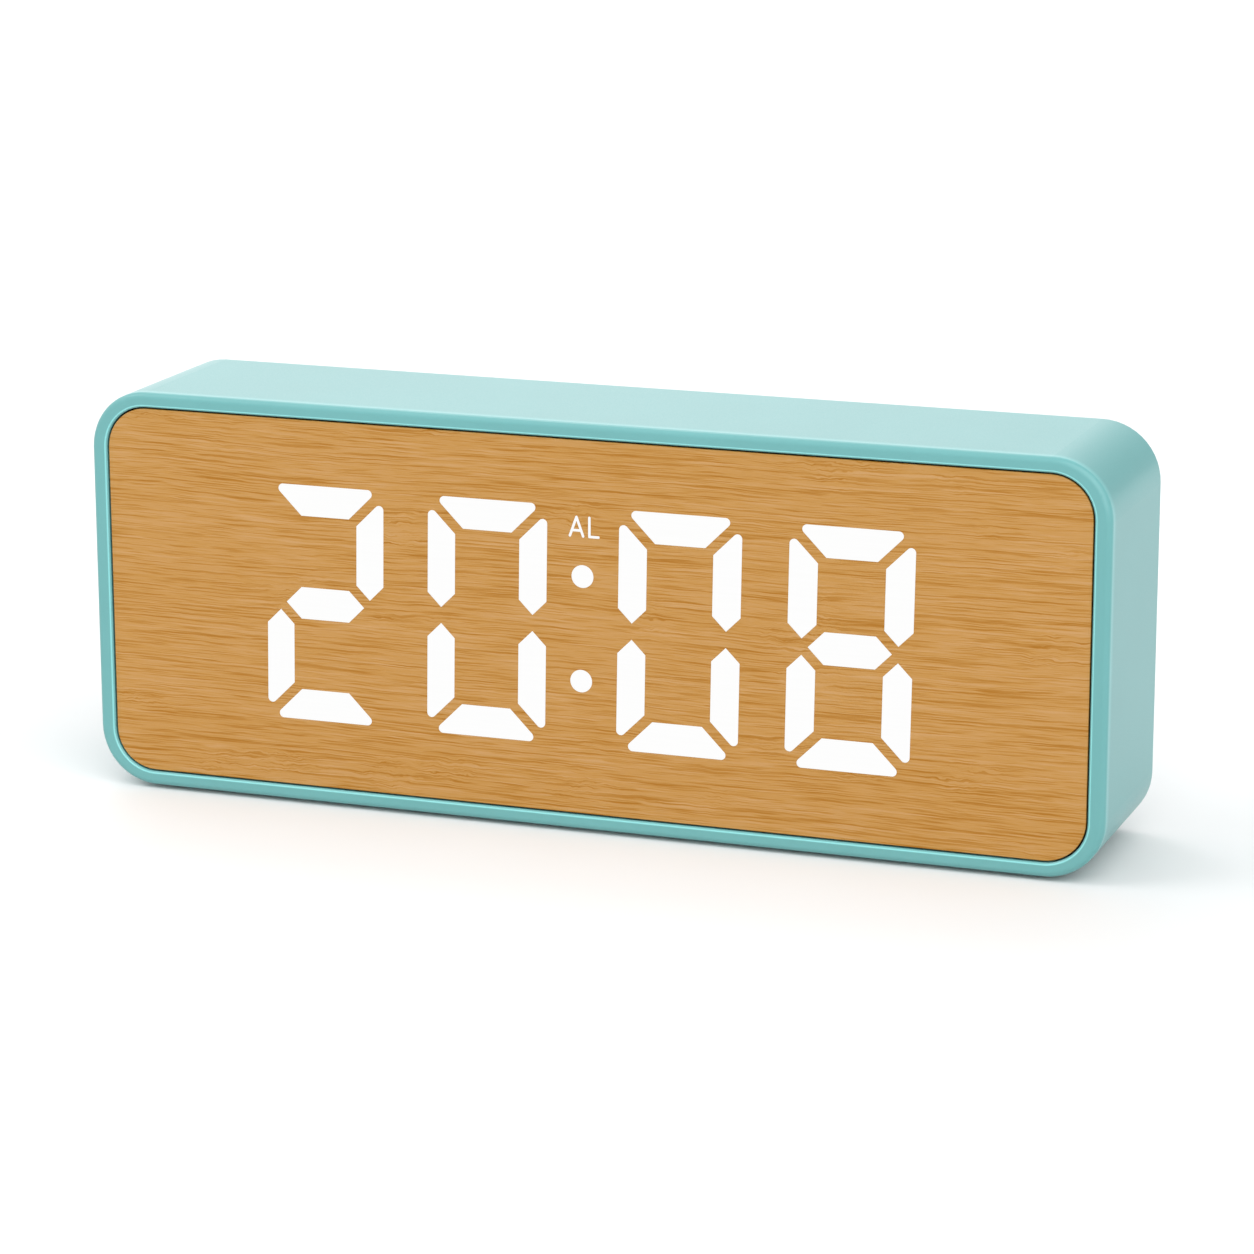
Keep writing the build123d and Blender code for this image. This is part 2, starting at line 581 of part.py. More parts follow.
# ---------------------------------------------------------------- batteries
def battery_door():
    """The door: a plate with two hooks along its lower edge and a sprung latch tongue at its top."""
    plate = slab(Pos(BAY_X, 0) * RectangleRounded(DOOR_WIDTH, DOOR_HEIGHT, DOOR_RADIUS), DOOR_Y, COVER_BACK)
    plate = fillet(plate.faces().sort_by(Axis.Y)[-1].edges(), DOOR_ROUNDING)
    low, high = -DOOR_HEIGHT / 2, DOOR_HEIGHT / 2
    for side in (-1, 1):
        slit = sorted((BAY_X + side * LATCH_WIDTH / 2, BAY_X + side * (LATCH_WIDTH / 2 + LATCH_SLIT)))
        plate -= block(*slit, DOOR_Y, COVER_BACK, high - LATCH_LENGTH, high)
        middle = BAY_X + side * HOOK_X
        ends = middle - HOOK_WIDTH / 2, middle + HOOK_WIDTH / 2
        plate += block(*ends, HOOK_Y, DOOR_Y, low + 0.1, low + 0.1 + HOOK_ROOT)
        plate += block(*ends, HOOK_Y, HOOK_Y + HOOK, low - HOOK_BITE, low + 0.1)
    ridge_ends = BAY_X - RIDGE_LENGTH / 2, BAY_X + RIDGE_LENGTH / 2
    for i in range(RIDGES):
        z = high - RIDGE_START - RIDGE_PITCH * i
        ridge = block(*ridge_ends, COVER_BACK - 0.1, COVER_BACK + RIDGE_HEIGHT, z - 0.3, z + 0.3)
        plate += chamfer(ridge.faces().sort_by(Axis.Y)[-1].edges(), 0.15)
    for z in (-CELL_PITCH / 2, CELL_PITCH / 2):
        plate += block(BAY_X - STIFFENER, BAY_X + STIFFENER, DOOR_Y - 0.6, DOOR_Y, z - 0.4, z + 0.4)
    return plate


def cell(z, nub_side):
    """An AAA cell along X, its positive nub on the side given."""
    can = CELL_LENGTH - NUB_LENGTH
    start = BAY_X - nub_side * (BAY_LENGTH / 2 - PLATE - SPRING_LENGTH)
    turn = Pos(start, CELL_Y, MID_Z + z) * Rot(0, 90 * nub_side, 0)
    body = turn * Pos(0, 0, can / 2) * Cylinder(CELL_RADIUS, can)
    body = fillet(body.edges().filter_by(GeomType.CIRCLE), 0.5)
    nub = turn * Pos(0, 0, can + NUB_LENGTH / 2) * Cylinder(NUB_RADIUS, NUB_LENGTH)
    return body + nub


def spring(z, nub_side):
    """A coned coil spring that presses on a cell's flat end."""
    rise = SPRING_LENGTH - 2 * SPRING_WIRE
    taper = math.degrees(math.atan((SPRING_WIDE - SPRING_NARROW) / rise))
    path = Helix(pitch=rise / SPRING_TURNS, height=rise, radius=SPRING_WIDE, cone_angle=-taper)
    coil = sweep((path ^ 0) * Circle(SPRING_WIRE), path=path, is_frenet=True)
    plate_face = BAY_X - nub_side * (BAY_LENGTH / 2 - PLATE)
    turn = Pos(plate_face, CELL_Y, MID_Z + z) * Rot(0, 90 * nub_side, 0)
    return turn * Pos(0, 0, SPRING_WIRE) * coil


def contact_plates():
    """Four nickel plates: two single terminals and two that join neighbouring cells."""
    single, double = CONTACT_HEIGHT, CONTACT_HEIGHT + CELL_PITCH
    near = BAY_Y + 0.4
    plates = []
    for side in (-1, 1):
        ends = sorted((BAY_X + side * BAY_LENGTH / 2, BAY_X + side * (BAY_LENGTH / 2 - PLATE)))
        for z, height in ((-side * CELL_PITCH, single), (side * CELL_PITCH / 2, double)):
            plates.append(block(*ends, near, near + CONTACT_DEPTH, z - height / 2, z + height / 2))
    return Compound(children=plates)


def lead(points, radii):
    """An insulated wire through the points, each corner an arc."""
    path = FilletPolyline(*[(x, y, MID_Z + z) for x, y, z in points], radius=radii)
    return sweep((path ^ 0) * Circle(LEAD_RADIUS), path=path)


def battery_leads():
    """The wires from the two single terminals to the control board."""
    left, right = BAY_X - BAY_LENGTH / 2, BAY_X + BAY_LENGTH / 2
    board_edge = CONTROL_BOARD_X - CONTROL_BOARD_WIDTH / 2
    solder_x = board_edge + LEAD_END
    run_z = BAY_HEIGHT / 2 + BAY_WALL + 4
    plus = [
        (left, CELL_Y, CELL_PITCH), (left - 4.5, CELL_Y, CELL_PITCH), (left - 4.5, CELL_Y, run_z),
        (board_edge - 5, CELL_Y, run_z), (board_edge + 2, LEAD_Y, run_z - 7), (solder_x, LEAD_Y, run_z - 11),
        (solder_x, CONTROL_BOARD_Y, run_z - 11),
    ]
    minus = [
        (right, CELL_Y, -CELL_PITCH), (right + 4.4, CELL_Y, -CELL_PITCH), (right + 6.6, LEAD_Y, -CELL_PITCH),
        (solder_x, LEAD_Y, -CELL_PITCH), (solder_x, CONTROL_BOARD_Y, -CELL_PITCH),
    ]
    return {
        "battery_lead_positive": lead(plus, [2.4, 3, 3, 2.4, 1.2]),
        "battery_lead_negative": lead(minus, [1.6, 1.6, 1.2]),
    }


# ---------------------------------------------------------------- controls
def control_board():
    """The circuit board behind the controls."""
    board = RectangleRounded(CONTROL_BOARD_WIDTH, CONTROL_BOARD_HEIGHT, BOARD_CORNER)
    board = Pos(CONTROL_BOARD_X, 0) * board
    spots = four(CONTROL_POST_X, CONTROL_POST_Z)
    board -= Sketch([Pos(CONTROL_BOARD_X + x, z) * Circle(BOARD_HOLE) for x, z in spots])
    return slab(board, CONTROL_BOARD_Y, CONTROL_BOARD_BACK)


def control_screws():
    """The four screws that hold the control board to the rear cover."""
    head = CONTROL_BOARD_Y - HEAD_HEIGHT
    screws = [
        screw(CONTROL_BOARD_X + x, z, head, CONTROL_BOARD_Y + CONTROL_SCREW, towards=-1)
        for x, z in four(CONTROL_POST_X, CONTROL_POST_Z)
    ]
    return Compound(children=screws)


def switch_bodies():
    """The four push switches' housings, each with a bore for its plunger."""
    half = SWITCH_SIDE / 2
    back = CONTROL_BOARD_BACK + SWITCH_HEIGHT
    bodies = []
    for x in BUTTONS.values():
        body = block(x - half, x + half, CONTROL_BOARD_BACK, back, BUTTON_Z - half, BUTTON_Z + half)
        body = chamfer(body.edges().filter_by(Axis.Y), 0.4)
        floor = back - PLUNGER_DEPTH - BUTTON_TRAVEL - 0.2
        bodies.append(body - rod(x, BUTTON_Z, PLUNGER_BORE, floor, back))
    return Compound(children=bodies)


def button(x):
    """A round key with a flange that keeps it in the cover and a stem that meets its switch."""
    flange_y = COVER_Y - FLANGE_GAP
    cap = rod(x, BUTTON_Z, BUTTON_RADIUS, flange_y - 0.1, BUTTON_FACE)
    cap = fillet(cap.faces().sort_by(Axis.Y)[-1].edges(), BUTTON_ROUNDING)
    flange = rod(x, BUTTON_Z, BUTTON_FLANGE, flange_y - FLANGE, flange_y)
    stem = rod(x, BUTTON_Z, STEM_RADIUS, PLUNGER_TIP, flange_y - FLANGE / 2)
    return cap + flange + stem


def plunger(x):
    """The plunger of the switch under the button at x."""
    return rod(x, BUTTON_Z, PLUNGER_RADIUS, CONTROL_BOARD_BACK + SWITCH_HEIGHT - PLUNGER_DEPTH, PLUNGER_TIP)


def alarm_slide():
    """The slide switch that arms the alarm: can, lever and the knob that the finger moves."""
    x, z = SLIDER_X, LOWER_ROW_Z
    can_back = CONTROL_BOARD_BACK + SWITCH_HEIGHT
    can = upright(x + SLIDER_TRAVEL / 2, z, 8.6, 3.6, CONTROL_BOARD_BACK, can_back)
    can = fillet(can.edges().filter_by(Axis.Y), 0.3)
    can -= upright(x + SLIDER_TRAVEL / 2, z, 4.4, 1.8, can_back - 0.8, can_back)
    lever = upright(x, z, LEVER, LEVER, can_back - 0.6, can_back + LEVER_HEIGHT)
    knob = upright(x, z, *KNOB, COVER_Y - 0.2, COVER_BACK + 0.1)
    knob = fillet(knob.edges().filter_by(Axis.Y), 0.5)
    knob = fillet(knob.faces().sort_by(Axis.Y)[-1].edges(), DOOR_ROUNDING)
    for i in (-1, 0, 1):
        knob -= upright(x + i * GRIP_PITCH, z, GRIP_SLOT, 2 * KNOB[1], COVER_BACK - GRIP_DEPTH, REAR_Y)
    plate = upright(x, z, *SLIDER_PLATE, COVER_Y - FLANGE_GAP - 0.9, COVER_Y - FLANGE_GAP)
    fork = upright(x, z, 3.2, 3.2, can_back + 0.3, COVER_Y - 0.9)
    fork -= upright(x, z, LEVER + 0.1, LEVER + 0.1, can_back, can_back + LEVER_HEIGHT + 0.1)
    return {"alarm_switch_can": can, "alarm_switch_lever": lever, "alarm_slider": knob + plate + fork}


def usb_socket():
    """A USB-C socket that stands on the control board, its mouth in the cover."""
    place = Pos(USB_X, LOWER_ROW_Z)
    inner = SlotOverall(USB_WIDTH - 2 * USB_SKIN, USB_HEIGHT - 2 * USB_SKIN)
    shell = slab(place * SlotOverall(USB_WIDTH, USB_HEIGHT), CONTROL_BOARD_BACK, USB_MOUTH)
    shell -= slab(place * inner, CONTROL_BOARD_BACK + USB_FLOOR, USB_MOUTH)
    blade = RectangleRounded(*USB_TONGUE, 0.2)
    tongue = slab(place * blade, CONTROL_BOARD_BACK + USB_FLOOR, USB_MOUTH - USB_TONGUE_SINK)
    return {"usb_socket_shell": shell, "usb_socket_tongue": tongue}


def buzzer():
    """The round buzzer behind the speaker holes, with its sound hole and the brass disc inside."""
    near, far = CONTROL_BOARD_BACK, CONTROL_BOARD_BACK + BUZZER_HEIGHT
    can = rod(BUZZER_X, LOWER_ROW_Z, BUZZER_RADIUS, near, far)
    can = fillet(can.faces().sort_by(Axis.Y)[-1].edges(), 0.5)
    can -= rod(BUZZER_X, LOWER_ROW_Z, DISC_RADIUS, near + BUZZER_WALL, far - BUZZER_WALL)
    can -= rod(BUZZER_X, LOWER_ROW_Z, SOUND_HOLE, far - BUZZER_WALL, far)
    disc = rod(BUZZER_X, LOWER_ROW_Z, DISC_RADIUS, near + DISC_RISE, near + DISC_RISE + DISC)
    return {"buzzer_can": can, "buzzer_disc": disc}


def board_parts():
    """The clock chip, its quartz crystal, the two ribbon sockets and the ribbon between the boards."""
    crystal_y = CONTROL_BOARD_Y - CRYSTAL_RADIUS - 0.05
    can = Rot(0, 90, 0) * Cylinder(CRYSTAL_RADIUS, CRYSTAL_LENGTH)
    crystal = Pos(CRYSTAL_X, crystal_y, MID_Z + CRYSTAL_Z) * can
    crystal = fillet(crystal.edges().filter_by(GeomType.CIRCLE), 0.3)
    end = CRYSTAL_X + CRYSTAL_LENGTH / 2
    near, far = crystal_y - 0.15, crystal_y + 0.15
    for z in (CRYSTAL_Z - 0.5, CRYSTAL_Z + 0.5):
        crystal += block(end, end + 1.2, near, far, z - 0.15, z + 0.15)
        crystal += block(end + 0.9, end + 1.2, near, CONTROL_BOARD_Y, z - 0.15, z + 0.15)
    display_end = DISPLAY_BOARD_BACK + RIBBON_SOCKET[1]
    control_end = CONTROL_BOARD_Y - RIBBON_SOCKET[1]
    wide, tall = RIBBON_SOCKET[0], RIBBON_SOCKET[2]
    bend_y = (display_end + control_end) / 2
    low, high = MID_Z + RIBBON_LOW, MID_Z + RIBBON_HIGH
    corners = [(display_end, low), (bend_y, low), (bend_y, high), (control_end, high)]
    route = FilletPolyline(*corners, radius=RIBBON_BEND)
    origin = (RIBBON_X - RIBBON_WIDTH / 2, 0, 0)
    strip = Plane(origin=origin, x_dir=(0, 1, 0), z_dir=(1, 0, 0)) * trace(route, RIBBON)
    return {
        "clock_chip": flat_chip(*CLOCK_CHIP, CONTROL_BOARD_Y, CLOCK_CHIP_LENGTH, -1, CLOCK_CHIP_PINS),
        "quartz_crystal": crystal,
        "display_ribbon_socket": upright(RIBBON_X, RIBBON_LOW, wide, tall, DISPLAY_BOARD_BACK, display_end),
        "control_ribbon_socket": upright(RIBBON_X, RIBBON_HIGH, wide, tall, control_end, CONTROL_BOARD_Y),
        "ribbon_cable": extrude(strip, amount=RIBBON_WIDTH, dir=(1, 0, 0)),
    }


# ---------------------------------------------------------------- everything
def build():
    """Every part by its node's name."""
    parts = {"case_shell": case_shell(), "rear_cover": rear_cover(), "rear_cover_screws": cover_screws()}
    parts.update(front_panel())
    parts.update(lit_plates())
    parts.update(display_module())
    for name, place in CELLS.items():
        parts[name] = cell(*place)
    parts["battery_springs"] = Compound(children=[spring(*place) for place in CELLS.values()])
    parts["contact_plates"] = contact_plates()
    parts["battery_door"] = battery_door()
    parts.update(battery_leads())
    parts["control_board"] = control_board()
    parts["control_board_screws"] = control_screws()
    parts["push_switch_bodies"] = switch_bodies()
    for name, x in BUTTONS.items():
        parts[f"{name}_button"] = button(x)
        parts[f"{name}_plunger"] = plunger(x)
    parts.update(alarm_slide())
    parts.update(usb_socket())
    parts.update(buzzer())
    parts.update(board_parts())
    for name, x, y in (("left", -1, 0), ("right", 1, 0)):
        for end, way in (("front", -1), ("rear", 1)):
            parts[f"foot_{end}_{name}"] = foot(x * FOOT_X, way * FOOT_Y)
    return parts


os.makedirs("parts", exist_ok=True)
for node, shape in build().items():
    export_step(shape, f"parts/{node}.step")
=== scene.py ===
import json
import math

import bmesh
import bpy
from mathutils import Matrix, Vector


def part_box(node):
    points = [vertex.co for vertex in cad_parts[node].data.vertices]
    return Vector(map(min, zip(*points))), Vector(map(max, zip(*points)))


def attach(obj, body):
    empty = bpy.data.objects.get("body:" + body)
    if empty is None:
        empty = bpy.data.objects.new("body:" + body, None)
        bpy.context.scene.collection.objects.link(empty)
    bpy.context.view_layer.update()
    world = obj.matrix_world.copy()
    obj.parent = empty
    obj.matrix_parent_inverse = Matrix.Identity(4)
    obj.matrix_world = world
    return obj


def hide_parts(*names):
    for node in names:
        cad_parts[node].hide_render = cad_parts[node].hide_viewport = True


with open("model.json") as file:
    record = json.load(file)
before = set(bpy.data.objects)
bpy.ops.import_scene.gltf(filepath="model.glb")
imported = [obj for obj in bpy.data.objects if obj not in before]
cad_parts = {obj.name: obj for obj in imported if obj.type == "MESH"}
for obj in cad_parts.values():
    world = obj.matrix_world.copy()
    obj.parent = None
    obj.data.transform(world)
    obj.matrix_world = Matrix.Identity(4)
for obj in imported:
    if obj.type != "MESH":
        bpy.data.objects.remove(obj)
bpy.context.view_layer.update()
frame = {"nodes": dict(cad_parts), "record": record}

MM = 0.001
NODES = frame["nodes"]
BODY_OF = {node: body for body, nodes in frame["record"]["behaviour"]["bodies"].items() for node in nodes}

# Where the camera stands, seen from the middle of the front rim
VIEW_AZIMUTH = math.radians(20.113)
VIEW_ELEVATION = math.radians(14.135)
VIEW_ROLL = math.radians(-0.112)
VIEW_DISTANCE = 641.158 * MM
VIEW_RIGHT = 6.773 * MM
VIEW_UP = 0.335 * MM
SENSOR = 36.0
FOCAL_LENGTH = 124.23

# The room: the strength of its walls' glow, and of three lamps by where they stand
WORLD_LIGHT = 1.12
BACK_GLOW = 0.46  # how much brighter the room is behind on the left
BACK_GLOOM = 0.55  # how much darker it is behind on the right
KEY_LIGHT = 1.75
KEY_TOWARDS = (0.5, -0.64, 0.58)
KEY_WIDTH = math.radians(70)
FILL_LIGHT = 0.6
FILL_TOWARDS = (-0.6, -0.3, 0.7)
FILL_WIDTH = math.radians(30)
CREST_LIGHT = 0.42  # watts
CREST_PLACE = (-0.27, 0.32, 0.71)
CREST_SIZE = 0.15
CREST_TARGET = (0, 0, 0.03)
FLOOR_REACH = 6.0

# Millimetres
OPENING_RADIUS = 6.58  # the corners of the opening in the rim
WEAR_AND_HIGHLIGHT_RADIUS = 0.25  # how far from an edge the paler band of wear and painted highlight reaches
POCKET_DEPTH = 0.8  # of the recess round the controls
SLIDER_TRAVEL = 2.0
SIGN_GAP = 6.0  # from the middle of the slider's slot to the sign on each side
SIGN_RISE = 4.6  # from the slider's row to the signs above it
ARROW_DROP = 13.0  # from the door's upper edge to its arrow
MARK_HEIGHT = 0.13
MARK_EDGE = 0.05
CONTACT_COUNT = 12
CONTACT_LENGTH = 3.9
CONTACT_WIDTH = 0.26
CONTACT_PITCH = 0.5
CONTACT_HEIGHT = 0.03
CONTACT_EDGE = 0.01
NUB_LENGTH = 1.0
PRINT_RISE = 0.01  # ink above the sleeve
PRINT_ROOT = 0.05  # ink below the sleeve's surface, so that it never parts from it

# Bars of the signs on a cell: start and end along it, low and high round it
SIGN_BARS = (
    (36.4, 39.0, -0.35, 0.35),
    (37.35, 38.05, 0.35, 1.3),
    (37.35, 38.05, -1.3, -0.35),
    (5.0, 7.6, -0.35, 0.35),
)
RING_START = 41.2
RING_END = 41.8

SHARP_ANGLE = math.radians(32)  # faces that meet more sharply keep their edge

# Linear colours
MINT = (0.11, 0.317, 0.317)
MINT_DEEP = (0.079, 0.238, 0.244)
PALENESS = 1.65  # how much lighter the edges are painted, partly as wear and partly as painted highlight
WHITENESS = 0.02  # and how far they go towards white
CREST_HIGHLIGHT_SHARE = 0.35  # how strong the painted highlight line behind the rounding is beside the lip's
# how strongly edges are painted paler, partly as wear and partly as painted highlight
WEAR_AND_HIGHLIGHT_SHARE = 0.25
OAK_DARK = (0.296, 0.114, 0.001)
OAK_MIDDLE = (0.385, 0.192, 0.039)
OAK_LIGHT = (0.425, 0.236, 0.086)
OAK_LEVEL = 0.69  # where plain wood lies between the dark and the light colour
FLOOR_DARK = (0.7, 0.706, 0.708)
FLOOR_LIGHT = (0.71, 0.716, 0.718)


# ---------------------------------------------------------------- node graphs
class Graph:
    """A material's node graph, with short calls for the nodes used here."""

    def __init__(self, name, **values):
        self.material = bpy.data.materials.new(name)
        self.material.use_nodes = True
        self.tree = self.material.node_tree
        self.shader = self.tree.nodes["Principled BSDF"]
        self.place = None
        for socket, value in values.items():
            self.shader.inputs[socket.replace("_", " ")].default_value = value

    def put(self, kind, inputs, **settings):
        """A node of this kind, its inputs set to values or linked to other nodes' outputs."""
        node = self.tree.nodes.new(kind)
        for name, value in settings.items():
            setattr(node, name, value)
        for key, value in inputs.items():
            if isinstance(value, bpy.types.NodeSocket):
                self.tree.links.new(value, node.inputs[key])
            else:
                node.inputs[key].default_value = value
        return node

    def point(self):
        """The surface point in the clock's own frame, in millimetres."""
        if self.place is None:
            metres = self.put("ShaderNodeTexCoord", {}).outputs["Object"]
            inputs = {0: metres, "Scale": 1 / MM}
            self.place = self.put("ShaderNodeVectorMath", inputs, operation="SCALE").outputs[0]
        return self.place

    def noise(self, point, per_mm, detail=2.0, rough=0.5, shift=(0, 0, 0)):
        """Smooth noise from 0 to 1, with this many features per millimetre along each axis."""
        inputs = {0: point, 1: per_mm, 2: shift}
        placed = self.put("ShaderNodeVectorMath", inputs, operation="MULTIPLY_ADD").outputs[0]
        inputs = {"Vector": placed, "Scale": 1.0, "Detail": detail, "Roughness": rough}
        return self.put("ShaderNodeTexNoise", inputs).outputs["Fac"]

    def math(self, operation, *values):
        """One arithmetic step."""
        return self.put("ShaderNodeMath", dict(enumerate(values)), operation=operation).outputs[0]

    def spread(self, value, low, high, out_low=0.0, out_high=1.0):
        """The value remapped and held between the output limits, with smooth ends."""
        inputs = {"Value": value, "From Min": low, "From Max": high, "To Min": out_low, "To Max": out_high}
        return self.put("ShaderNodeMapRange", inputs, interpolation_type="SMOOTHSTEP").outputs["Result"]

    def mix(self, share, first, second):
        """A blend of two colours."""
        inputs = {0: share, 6: rgba(first), 7: rgba(second)}
        return self.put("ShaderNodeMix", inputs, data_type="RGBA").outputs[2]

    def bump(self, height, depth):
        """Links a height from 0 to 1 to the shader's normal; depth is in millimetres."""
        inputs = {"Height": height, "Distance": depth * MM, "Strength": 1.0}
        self.link(self.put("ShaderNodeBump", inputs).outputs[0], "Normal")

    def link(self, output, socket):
        """Links an output to a socket of the shader."""
        self.tree.links.new(output, self.shader.inputs[socket])


def rgba(colour):
    """A colour as four numbers, or a socket as it is."""
    return colour if isinstance(colour, bpy.types.NodeSocket) else (*colour, 1.0)


# ---------------------------------------------------------------- materials
def moulded(name, colour, rough=0.32, grain=0.006, painted_highlight=None):
    """Injection moulded plastic: a fine spark texture, faint mottling, and edges painted slightly paler,
    partly as wear and partly as painted highlight.
    """
    graph = Graph(name)
    point = graph.point()
    cloud = graph.noise(point, (0.05, 0.05, 0.05), detail=3.0)
    shade = graph.mix(graph.spread(cloud, 0.3, 0.7), tuple(c * 0.97 for c in colour), colour)
    # edges painted paler: partly wear, partly painted highlight
    eased = graph.put("ShaderNodeBevel", {"Radius": WEAR_AND_HIGHLIGHT_RADIUS * MM}, samples=4).outputs["Normal"]
    flat = graph.put("ShaderNodeNewGeometry", {}).outputs["Normal"]
    turn = graph.put("ShaderNodeVectorMath", {0: eased, 1: flat}, operation="DOT_PRODUCT").outputs["Value"]
    wear_and_highlight = graph.math("MULTIPLY", graph.spread(turn, 0.995, 0.9), WEAR_AND_HIGHLIGHT_SHARE)
    # the case's rim gets painted highlight lines on top of its paler edges
    if painted_highlight:
        wear_and_highlight = graph.math("MAXIMUM", wear_and_highlight, painted_highlight(graph))
    wear_and_highlight_colour = tuple(PALENESS * c + WHITENESS for c in colour)
    graph.link(graph.mix(wear_and_highlight, shade, wear_and_highlight_colour), "Base Color")
    spark = graph.noise(point, (5.5, 5.5, 5.5), detail=2.0, rough=0.6)
    graph.link(graph.spread(spark, 0.3, 0.7, rough - 0.03, rough + 0.03), "Roughness")
    graph.bump(spark, grain)
    return graph.material


def rim_painted_highlight(graph):
    """Painted highlights along the case's rim: a pale line on its inner lip and one behind its outer
    rounding.
    """
    low, high = (Vector(corner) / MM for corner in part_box("panel_tape"))
    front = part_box("case_shell")[0].y / MM
    split = graph.put("ShaderNodeSeparateXYZ", {0: graph.point()})
    depth = graph.math("SUBTRACT", split.outputs["Y"], front)

    def past(value, centre, half):
        """How far the value lies beyond the straight part of an edge."""
        away = graph.math("ABSOLUTE", graph.math("SUBTRACT", value, centre))
        return graph.math("MAXIMUM", graph.math("SUBTRACT", away, half - OPENING_RADIUS), 0.0)

    across = past(split.outputs["X"], (low.x + high.x) / 2, (high.x - low.x) / 2)
    along = past(split.outputs["Z"], (low.z + high.z) / 2, (high.z - low.z) / 2)
    reach = graph.put("ShaderNodeCombineXYZ", {"X": across, "Y": along, "Z": 0.0}).outputs[0]
    reach = graph.put("ShaderNodeVectorMath", {0: reach}, operation="LENGTH").outputs["Value"]
    away = graph.math("SUBTRACT", reach, OPENING_RADIUS)
    # painted highlight lines: one on the opening's inner lip, one just behind the outer front rounding
    lip = graph.math("MULTIPLY", graph.spread(away, 0.42, 0.32), graph.spread(depth, 0.13, 0.05))
    crest = graph.math("MULTIPLY", graph.spread(depth, 0.45, 0.9), graph.spread(depth, 2.6, 1.3))
    return graph.math("MAXIMUM", lip, graph.math("MULTIPLY", crest, CREST_HIGHLIGHT_SHARE))


def oak():
    """Oak veneer under a satin lacquer: fine wavy streaks, busier patches of figure and shallow pores."""
    graph = Graph("oak_veneer", Specular_IOR_Level=0.35)
    point = graph.point()
    split = graph.put("ShaderNodeSeparateXYZ", {0: point})
    x, z = split.outputs["X"], split.outputs["Z"]

    def centred(value, size):
        """Noise around zero, this many millimetres from end to end."""
        return graph.math("MULTIPLY", graph.math("SUBTRACT", value, 0.5), size)

    def layer(per_x, per_z, seed, detail=0.0, rough=0.5):
        """Noise along the grain, one of several that don't repeat each other."""
        return graph.noise(flow, (per_x, 1.0, per_z), detail=detail, rough=rough, shift=(0, seed, 0))

    drift = centred(graph.noise(point, (0.016, 0, 0.04), detail=1.0), 3.0)
    wave = centred(graph.noise(point, (0.2, 0, 0.5), detail=2.0), 0.42)
    patches = graph.noise(point, (0.05, 0, 0.11), detail=1.0, shift=(3.7, 0, 1.9))
    curl = centred(graph.noise(point, (0.4, 0, 0.9), detail=2.0), 1.3)
    curl = graph.math("MULTIPLY", curl, graph.spread(patches, 0.56, 0.68))
    level = graph.math("ADD", graph.math("ADD", z, drift), graph.math("ADD", wave, curl))
    flow = graph.put("ShaderNodeCombineXYZ", {"X": x, "Y": 0.0, "Z": level}).outputs[0]

    long_streaks = graph.spread(layer(0.06, 4.2, 2.3), 0.55, 0.73)
    short_streaks = graph.spread(layer(0.17, 6.0, 5.6), 0.55, 0.74)
    pale_streaks = graph.spread(layer(0.08, 4.0, 9.4), 0.55, 0.78)
    fibres = centred(layer(0.26, 6.4, 12.7, detail=2.0, rough=0.7), 1.0)
    bands = centred(layer(0.012, 0.3, 15.2, detail=1.0), 1.0)
    tone = OAK_LEVEL
    for part, share in (
        (long_streaks, -0.48), (short_streaks, -0.42), (pale_streaks, 0.24), (fibres, 0.66), (bands, 0.3),
    ):
        tone = graph.math("MULTIPLY_ADD", part, share, tone)

    ramp = graph.put("ShaderNodeValToRGB", {"Fac": tone})
    stops = ((0.0, OAK_DARK), (0.6, OAK_MIDDLE), (1.0, OAK_LIGHT))
    elements = ramp.color_ramp.elements
    elements.new(0.6)
    for element, (position, colour) in zip(elements, stops):
        element.position = position
        element.color = rgba(colour)
    graph.link(ramp.outputs["Color"], "Base Color")
    graph.link(graph.spread(tone, 0.1, 0.9, 0.56, 0.42), "Roughness")
    graph.bump(tone, 0.012)
    return graph.material


def glow():
    """The light of the LEDs on the veneer: even white, with the wood's fibres faintly in it."""
    graph = Graph("led_light", Roughness=0.6, Specular_IOR_Level=0.0, Emission_Strength=1.0)
    graph.shader.inputs["Base Color"].default_value = (0, 0, 0, 1)
    fibres = graph.noise(graph.point(), (0.1, 0, 3.0), detail=2.0)
    graph.link(graph.mix(fibres, (0.975, 0.975, 0.97), (1.0, 1.0, 1.0)), "Emission Color")
    graph.bump(fibres, 0.004)
    return graph.material


def metal(name, colour, rough, along=(0.3, 6.0, 6.0)):
    """Plated or drawn metal with fine lines along one axis and a little tarnish."""
    graph = Graph(name, Metallic=1.0)
    lines = graph.noise(graph.point(), along, detail=3.0)
    stain = graph.noise(graph.point(), (0.4, 0.4, 0.4), detail=3.0)
    tarnished = tuple(c * 0.82 for c in colour)
    graph.link(graph.mix(graph.spread(stain, 0.35, 0.75), colour, tarnished), "Base Color")
    graph.link(graph.spread(lines, 0.2, 0.8, rough - 0.07, rough + 0.1), "Roughness")
    graph.bump(lines, 0.004)
    return graph.material


def rubber():
    """Soft black foot rubber with a fine open grain."""
    graph = Graph("foot_rubber", Specular_IOR_Level=0.3)
    grain = graph.noise(graph.point(), (3.0, 3.0, 3.0), detail=4.0, rough=0.65)
    graph.link(graph.mix(grain, (0.022, 0.026, 0.026), (0.05, 0.056, 0.055)), "Base Color")
    graph.link(graph.spread(grain, 0.3, 0.7, 0.7, 0.9), "Roughness")
    graph.bump(grain, 0.05)
    return graph.material


